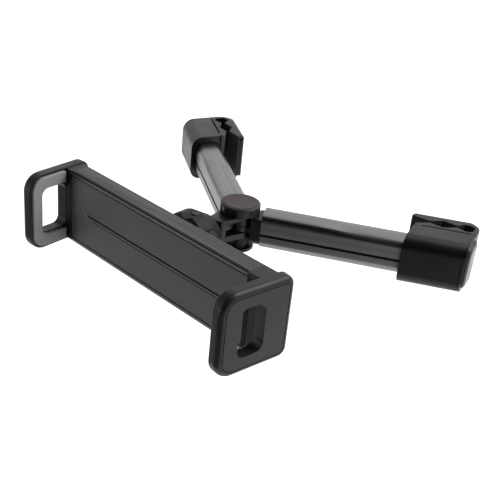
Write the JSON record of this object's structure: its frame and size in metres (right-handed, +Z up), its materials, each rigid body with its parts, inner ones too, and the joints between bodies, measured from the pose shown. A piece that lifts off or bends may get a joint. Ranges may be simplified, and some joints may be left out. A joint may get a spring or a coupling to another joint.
{
  "type": "headrest tablet mount",
  "caption": "Tablet mount for a car headrest: telescoping arms with hook clamps swing on a pivot, and a ball joint carries a sprung cradle with windowed jaws.",
  "frame": {"origin": "midway between the two headrest post pockets, at the arms' mid-height, with the part at rest", "axes": "+X along the cradle towards the sliding jaw, +Y to the headrest, +Z up the headrest posts"},
  "size_m": [0.313, 0.2482, 0.0624],
  "materials": {
    "black_plastic": "fine moulded texture, satin",
    "knob_plastic": "semi-gloss moulded",
    "arm_aluminium": "brushed, dark anodised",
    "bar_aluminium": "satin anodised",
    "cradle_aluminium": "brushed, brown-grey anodised",
    "panel_plastic": "satin black",
    "pad_rubber": "matte light grey",
    "teeth_rubber": "matte dark grey",
    "cap_plastic": "glossy domed",
    "nylon": "natural nylon",
    "joint_plastic": "glass-filled, satin",
    "steel": "plain steel",
    "bright_pin": "polished"
  },
  "bodies": {
    "hub": {"ball_stem": "joint_plastic", "pivot_bolt": "steel", "pivot_nut": "knob_plastic", "washer_low": "nylon", "washer_mid": "nylon", "washer_top": "nylon"},
    "knob": {"pivot_cap": "knob_plastic"},
    "arm_right": {"knuckle_right": "joint_plastic", "tube_right": "arm_aluminium"},
    "reach_right": {"bar_right": "bar_aluminium", "shoe_right": "nylon", "clamp_right": "black_plastic", "teeth_front_right": "teeth_rubber", "teeth_rear_right": "teeth_rubber", "end_cap_right": "cap_plastic"},
    "arm_left": {"knuckle_left": "joint_plastic", "tube_left": "arm_aluminium"},
    "reach_left": {"bar_left": "bar_aluminium", "shoe_left": "nylon", "clamp_left": "black_plastic", "teeth_front_left": "teeth_rubber", "teeth_rear_left": "teeth_rubber", "end_cap_left": "cap_plastic"},
    "ball_seat": {"liner_front": "nylon"},
    "ball_collar": {"liner_rear": "nylon"},
    "cradle": {"ball_socket": "joint_plastic", "base_screws": "steel", "cradle_channel": "cradle_aluminium", "front_panel": "panel_plastic", "jaw_left": "black_plastic", "pad_left": "pad_rubber", "spring_upper": "steel", "spring_lower": "steel"},
    "ring": {"ring_nut": "joint_plastic"},
    "sliding_jaw": {"jaw_right": "black_plastic", "pad_right": "pad_rubber", "tongue": "black_plastic", "stop_pin": "bright_pin"}
  },
  "joints": [
    {"name": "arm_right_swing", "type": "hinge", "parent": "hub", "child": "arm_right", "pos_m": [0, -0.09999, 0], "axis": [0, 0, 1], "range_deg": [-27, 22]},
    {"name": "arm_left_swing", "type": "hinge", "parent": "hub", "child": "arm_left", "pos_m": [0, -0.09999, 0], "axis": [0, 0, 1], "range_deg": [-22, 27]},
    {"name": "reach_right_slide", "type": "slide", "parent": "arm_right", "child": "reach_right", "axis": [0.848, 0.5299, 0], "range_m": [0, 0.06]},
    {"name": "reach_left_slide", "type": "slide", "parent": "arm_left", "child": "reach_left", "axis": [-0.848, 0.5299, 0], "range_m": [0, 0.06]},
    {"name": "knob_turn", "type": "hinge", "parent": "hub", "child": "knob", "pos_m": [0, -0.09999, 0.0141], "axis": [0, 0, 1], "range_deg": [0, 90]},
    {"name": "cradle_pan", "type": "hinge", "parent": "hub", "child": "ball_seat", "pos_m": [0, -0.14699, 0], "axis": [0, 0, 1], "range_deg": [-15, 15]},
    {"name": "cradle_tilt", "type": "hinge", "parent": "ball_seat", "child": "ball_collar", "pos_m": [0, -0.14699, 0], "axis": [1, 0, 0], "range_deg": [-15, 15]},
    {"name": "cradle_roll", "type": "hinge", "parent": "ball_collar", "child": "cradle", "pos_m": [0, -0.14699, 0], "axis": [0, 1, 0], "continuous": true},
    {"name": "ring_turn", "type": "hinge", "parent": "cradle", "child": "ring", "pos_m": [0, -0.14699, 0], "axis": [0, 1, 0], "range_deg": [0, 90]},
    {"name": "jaw_slide", "type": "slide", "parent": "cradle", "child": "sliding_jaw", "axis": [1, 0, 0], "range_m": [0, 0.072], "stiffness_N_per_m": 200, "springref_m": -0.05, "deforming": ["spring_upper", "spring_lower"]}
  ]
}
